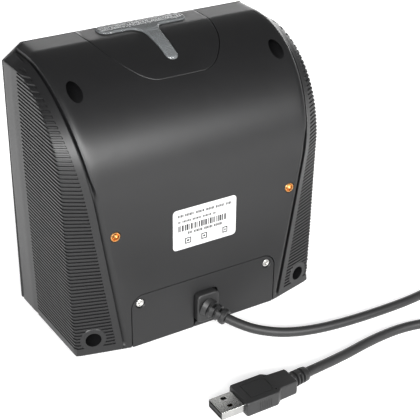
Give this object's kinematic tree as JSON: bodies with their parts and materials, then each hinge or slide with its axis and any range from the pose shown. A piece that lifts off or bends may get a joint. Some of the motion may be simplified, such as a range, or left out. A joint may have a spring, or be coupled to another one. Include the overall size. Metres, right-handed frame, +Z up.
{
  "type": "desktop barcode scanner",
  "caption": "Desktop barcode scanner: ribbed box with a rolled back, front reading window, T-shaped top light, screwed rear cable cover and a coiled USB lead.",
  "frame": {"origin": "on the ground below the middle of the housing", "axes": "+Z up, +Y out of the rear panel where the cable leaves, -Y out of the reading window, +X to the left as seen from behind"},
  "size_m": [0.276, 0.187, 0.1457],
  "materials": {
    "housing_plastic": "fine textured satin",
    "grip_plastic": "fine textured satin, ribbed",
    "bezel_plastic": "fine textured satin",
    "window_clear": "polished",
    "gasket_foam": "matte",
    "light_pipe_clear": "polished with fine prisms",
    "cover_plastic": "fine textured satin",
    "bright_steel": "bright zinc",
    "dark_steel": "black oxide",
    "brass_insert": "bright turned",
    "label_paper": "satin film",
    "cable_jacket": "satin",
    "boot_rubber": "satin",
    "plug_metal": "nickel plate",
    "plug_plastic": "satin",
    "contact_gold": "gold plate",
    "circuit_board": "solder mask",
    "white_board": "white solder mask",
    "led_white": "clear epoxy",
    "led_blue": "clear epoxy",
    "diffuser_frosted": "frosted",
    "shroud_plastic": "matte",
    "chip_epoxy": "matte",
    "header_nylon": "satin",
    "wire_pvc": "satin",
    "camera_plastic": "satin",
    "lens_glass": "coated",
    "bracket_zinc": "zinc",
    "brass_barrel": "turned",
    "ribbon_film": "polyimide film",
    "foot_rubber": "matte"
  },
  "bodies": {
    "scanner": {"rear_shell": "housing_plastic", "left_side_cover": "grip_plastic", "right_side_cover": "grip_plastic", "indicator_panel": "housing_plastic", "indicator_light_pipe": "light_pipe_clear", "indicator_board": "white_board", "indicator_leds": "led_blue", "indicator_board_screws": "bright_steel", "mounting_inserts": "brass_insert", "front_bezel": "bezel_plastic", "upper_case_screws": "dark_steel", "lower_case_screws": "dark_steel", "scan_window": "window_clear", "window_gasket": "gasket_foam", "light_shroud": "shroud_plastic", "illumination_diffuser": "diffuser_frosted", "illumination_board": "white_board", "illumination_leds": "led_white", "imager_body": "camera_plastic", "lens_barrel": "camera_plastic", "camera_lenses": "lens_glass", "aiming_module": "brass_barrel", "sensor_board": "circuit_board", "imager_bracket": "bracket_zinc", "imager_flat_cable": "ribbon_film", "main_board": "circuit_board", "main_board_screws": "bright_steel", "processor_chip": "chip_epoxy", "beeper": "chip_epoxy", "cable_header": "header_nylon", "cable_connector": "header_nylon", "cable_wires": "wire_pvc", "base_plate": "housing_plastic", "rubber_feet": "foot_rubber", "base_plate_screws": "bright_steel", "product_label": "label_paper", "strain_relief": "boot_rubber", "usb_cable_lead": "cable_jacket", "usb_cable_tail": "cable_jacket", "usb_cable_coil": "cable_jacket", "usb_plug_overmould": "boot_rubber", "usb_plug_shell": "plug_metal", "usb_plug_tongue": "plug_plastic", "usb_plug_contacts": "contact_gold"},
    "cover": {"connector_cover": "cover_plastic", "connector_cover_screws": "bright_steel"}
  },
  "joints": [
    {"name": "connector_cover_slide", "type": "slide", "parent": "scanner", "child": "cover", "axis": [0, 1, 0], "range_m": [0, 0.006]}
  ]
}
